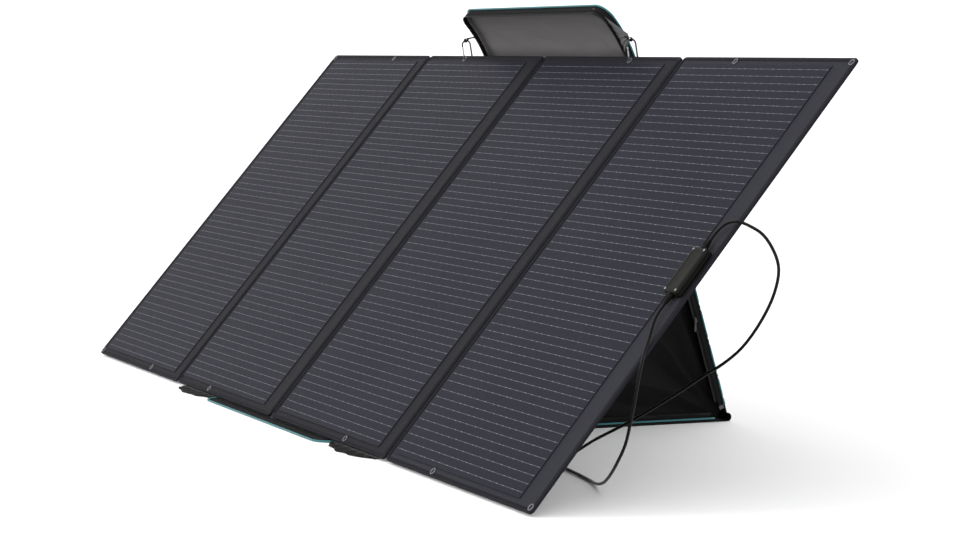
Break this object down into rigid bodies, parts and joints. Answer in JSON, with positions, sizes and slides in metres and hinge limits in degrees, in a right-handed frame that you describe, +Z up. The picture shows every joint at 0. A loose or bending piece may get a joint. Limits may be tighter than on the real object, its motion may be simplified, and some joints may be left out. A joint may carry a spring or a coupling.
{
  "type": "folding solar suitcase kit",
  "caption": "Fold-out solar panel kit standing on its opened carrying case, with hinged panels, eyelets, carabiners, a junction box and leads.",
  "frame": {"origin": "on the floor under the middle of the panels' bottom edge", "axes": "+X along the opened panels' width, +Y back from the side that faces the sun, +Z up"},
  "size_m": [2.4132, 1.0476, 0.938],
  "materials": {
    "panel_cloth": "coated woven cloth over a stiff board",
    "cell_laminate": "semi-gloss laminated solar cells with fine silver busbars",
    "fold_cloth": "plain woven cloth",
    "eyelet_metal": "pressed metal",
    "black_plastic": "fine-grained moulded plastic",
    "circuit_board": "glass-fibre circuit board",
    "lead_rubber": "smooth glossy cable jacket",
    "case_cloth": "heavy woven carrying-case cloth",
    "gusset_cloth": "thin coated cloth with a slight sheen",
    "board_grey": "grey lining over a stiff board",
    "teal_piping": "woven piping over a cord",
    "zip_tape": "woven tape with coil teeth",
    "webbing": "woven webbing",
    "dark_wire": "black-coated metal"
  },
  "bodies": {
    "base": {"base_shell": "case_cloth", "base_stiffener": "board_grey", "base_piping": "teal_piping", "base_zip_tape_left": "zip_tape", "base_zip_tape_right": "zip_tape", "spine_band": "case_cloth", "gusset_left": "gusset_cloth", "gusset_right": "gusset_cloth", "corner_flap_left": "gusset_cloth", "corner_flap_right": "gusset_cloth", "base_handle": "webbing"},
    "upright": {"upright_shell": "case_cloth", "upright_stiffener": "board_grey", "upright_zip_tape": "zip_tape", "upright_piping": "teal_piping", "top_loop_left": "webbing", "top_loop_right": "webbing", "upright_handle": "webbing"},
    "panel_2": {"panel_board_2": "panel_cloth", "cell_sheet_2": "cell_laminate", "fold_strip_1": "fold_cloth", "fold_strip_2": "fold_cloth", "eyelet_bottom_3": "eyelet_metal", "eyelet_top_3": "eyelet_metal"},
    "panel_1": {"panel_board_1": "panel_cloth", "cell_sheet_1": "cell_laminate", "eyelet_bottom_1": "eyelet_metal", "eyelet_bottom_2": "eyelet_metal", "eyelet_top_1": "eyelet_metal", "eyelet_top_2": "eyelet_metal"},
    "panel_3": {"panel_board_3": "panel_cloth", "cell_sheet_3": "cell_laminate", "fold_strip_3": "fold_cloth", "eyelet_bottom_4": "eyelet_metal", "eyelet_top_4": "eyelet_metal"},
    "panel_4": {"panel_board_4": "panel_cloth", "cell_sheet_4": "cell_laminate", "eyelet_bottom_5": "eyelet_metal", "eyelet_bottom_6": "eyelet_metal", "eyelet_top_5": "eyelet_metal", "eyelet_top_6": "eyelet_metal", "junction_box_tray": "black_plastic", "junction_box_cover": "black_plastic", "diode_board": "circuit_board", "gland_upper": "black_plastic", "gland_lower": "black_plastic", "lead_upper": "lead_rubber", "lead_lower": "lead_rubber", "coil_upper": "lead_rubber", "coil_lower": "lead_rubber", "plug_upper": "black_plastic", "plug_lower": "black_plastic"},
    "zip_slider_left": {"zip_slider_left": "dark_wire"},
    "zip_pull_left": {"zip_pull_left": "dark_wire"},
    "carabiner_left": {"carabiner_left": "dark_wire"},
    "gate_left": {"gate_left": "dark_wire"},
    "zip_slider_right": {"zip_slider_right": "dark_wire"},
    "zip_pull_right": {"zip_pull_right": "dark_wire"},
    "carabiner_right": {"carabiner_right": "dark_wire"},
    "gate_right": {"gate_right": "dark_wire"}
  },
  "joints": [
    {"name": "panel_tilt", "type": "hinge", "parent": "base", "child": "panel_2", "pos_m": [0, 0.00347, 0.0048], "axis": [1, 0, 0], "range_deg": [0, 30], "deforming": ["top_loop_left", "top_loop_right"]},
    {"name": "fold_1", "type": "hinge", "parent": "panel_2", "child": "panel_1", "pos_m": [-0.5925, -0.00154, 0.00893], "axis": [0, 0.6354, 0.7722], "range_deg": [0, 172], "deforming": ["fold_strip_1"]},
    {"name": "fold_2", "type": "hinge", "parent": "panel_2", "child": "panel_3", "pos_m": [-0.0025, -0.00154, 0.00893], "axis": [0, 0.6354, 0.7722], "range_deg": [-170, 0], "deforming": ["fold_strip_2"]},
    {"name": "fold_3", "type": "hinge", "parent": "panel_3", "child": "panel_4", "pos_m": [0.5875, -0.00154, 0.00893], "axis": [0, -0.6354, -0.7722], "range_deg": [0, 165], "deforming": ["fold_strip_3"]},
    {"name": "case_hinge", "type": "hinge", "parent": "base", "child": "upright", "pos_m": [0, 1, 0.009], "axis": [-1, 0, 0], "range_deg": [0, 36], "deforming": ["gusset_left", "gusset_right", "spine_band", "top_loop_left", "top_loop_right"]},
    {"name": "zip_slide_left", "type": "slide", "parent": "upright", "child": "zip_slider_left", "axis": [0, -0.3289, 0.9444], "range_m": [-0.178, 0.55]},
    {"name": "zip_pull_swing_left", "type": "hinge", "parent": "zip_slider_left", "child": "zip_pull_left", "pos_m": [-0.3355, 0.89644, 0.23554], "axis": [1, 0, 0], "range_deg": [-50, 50]},
    {"name": "zip_slide_right", "type": "slide", "parent": "upright", "child": "zip_slider_right", "axis": [0, -0.3289, 0.9444], "range_m": [-0.178, 0.55]},
    {"name": "zip_pull_swing_right", "type": "hinge", "parent": "zip_slider_right", "child": "zip_pull_right", "pos_m": [0.3355, 0.89644, 0.23554], "axis": [1, 0, 0], "range_deg": [-50, 50]},
    {"name": "carabiner_swing_left", "type": "hinge", "parent": "panel_2", "child": "carabiner_left", "pos_m": [-0.3905, 0.66701, 0.8147], "axis": [1, 0, 0], "range_deg": [0, 13], "deforming": ["top_loop_left"]},
    {"name": "gate_swing_left", "type": "hinge", "parent": "carabiner_left", "child": "gate_left", "pos_m": [-0.3905, 0.66261, 0.82384], "axis": [-1, 0, 0], "range_deg": [0, 25], "stiffness_Nm_per_rad": 0.02, "springref_deg": -20.05},
    {"name": "carabiner_swing_right", "type": "hinge", "parent": "panel_3", "child": "carabiner_right", "pos_m": [0.3855, 0.66701, 0.8147], "axis": [1, 0, 0], "range_deg": [0, 13], "deforming": ["top_loop_right"]},
    {"name": "gate_swing_right", "type": "hinge", "parent": "carabiner_right", "child": "gate_right", "pos_m": [0.3855, 0.66261, 0.82384], "axis": [-1, 0, 0], "range_deg": [0, 25], "stiffness_Nm_per_rad": 0.02, "springref_deg": -20.05}
  ]
}
